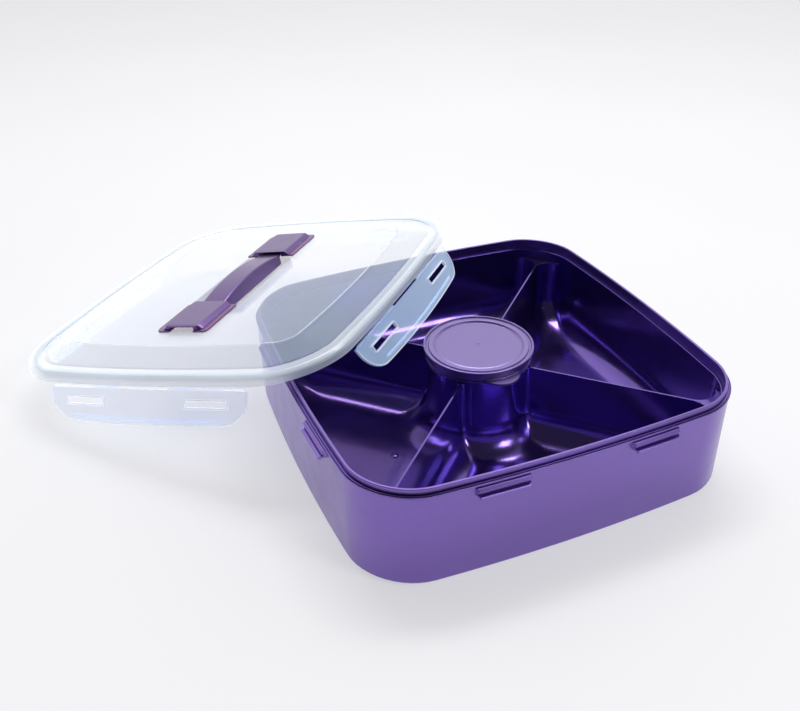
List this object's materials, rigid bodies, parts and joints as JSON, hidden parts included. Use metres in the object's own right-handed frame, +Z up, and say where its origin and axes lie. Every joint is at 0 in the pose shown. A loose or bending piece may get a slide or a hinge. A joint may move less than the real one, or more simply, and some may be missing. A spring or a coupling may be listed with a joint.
{
  "type": "chip and dip server",
  "caption": "Square bow-sided food carrier with a removable divided tray, a lidded dip cup in the middle, and a leaning translucent lid with latch flaps and a carrying strap.",
  "frame": {"origin": "centre of the container's underside, on the surface it stands on", "axes": "+Z up; container sides face X and Y; the lid leans over the corner at -X +Y"},
  "size_m": [0.4812, 0.523, 0.1003],
  "materials": {
    "body_purple": "satin pearl plastic",
    "tray_indigo": "polished plastic",
    "cup_lid_lilac": "satin plastic",
    "lid_clear": "milky translucent plastic",
    "seal_silicone": "soft translucent silicone",
    "handle_plum": "satin plastic"
  },
  "bodies": {
    "base": {"container": "body_purple"},
    "tray": {"divided_tray": "tray_indigo"},
    "cup": {"dip_cup": "body_purple"},
    "cup_cover": {"cup_lid": "cup_lid_lilac"},
    "lid": {"lid_panel": "lid_clear", "lid_seal": "seal_silicone", "handle_block_near": "handle_plum", "handle_block_far": "handle_plum"},
    "strap": {"handle_strap": "handle_plum"},
    "latch_right": {"flap_right": "lid_clear"},
    "latch_back": {"flap_back": "lid_clear"},
    "latch_left": {"flap_left": "lid_clear"},
    "latch_front": {"flap_front": "lid_clear"}
  },
  "joints": [
    {"name": "lid_lift", "type": "slide", "parent": "base", "child": "lid", "axis": [0, 0, 1], "range_m": [0, 0.15]},
    {"name": "latch_right_hinge", "type": "hinge", "parent": "lid", "child": "latch_right", "pos_m": [-0.03137, 0.07428, 0.09232], "axis": [-0.7034, -0.7108, 0], "range_deg": [-26, 60]},
    {"name": "latch_back_hinge", "type": "hinge", "parent": "lid", "child": "latch_back", "pos_m": [-0.0301, 0.2887, 0.06032], "axis": [0.6951, -0.6879, 0.2088], "range_deg": [-26, 60]},
    {"name": "latch_left_hinge", "type": "hinge", "parent": "lid", "child": "latch_left", "pos_m": [-0.2445, 0.28519, 0.02832], "axis": [0.7034, 0.7108, 0], "range_deg": [-26, 60]},
    {"name": "latch_front_hinge", "type": "hinge", "parent": "lid", "child": "latch_front", "pos_m": [-0.24577, 0.07077, 0.06032], "axis": [-0.6951, 0.6879, -0.2088], "range_deg": [-26, 60]},
    {"name": "strap_play", "type": "slide", "parent": "lid", "child": "strap", "axis": [-0.1484, 0.1468, 0.978], "range_m": [0, 0.0012]},
    {"name": "tray_lift", "type": "slide", "parent": "base", "child": "tray", "axis": [0, 0, 1], "range_m": [0, 0.005]},
    {"name": "cup_lift", "type": "slide", "parent": "tray", "child": "cup", "axis": [0, 0, 1], "range_m": [0, 0.08]},
    {"name": "cup_cover_lift", "type": "slide", "parent": "cup", "child": "cup_cover", "axis": [0, 0, 1], "range_m": [0, 0.03]}
  ]
}
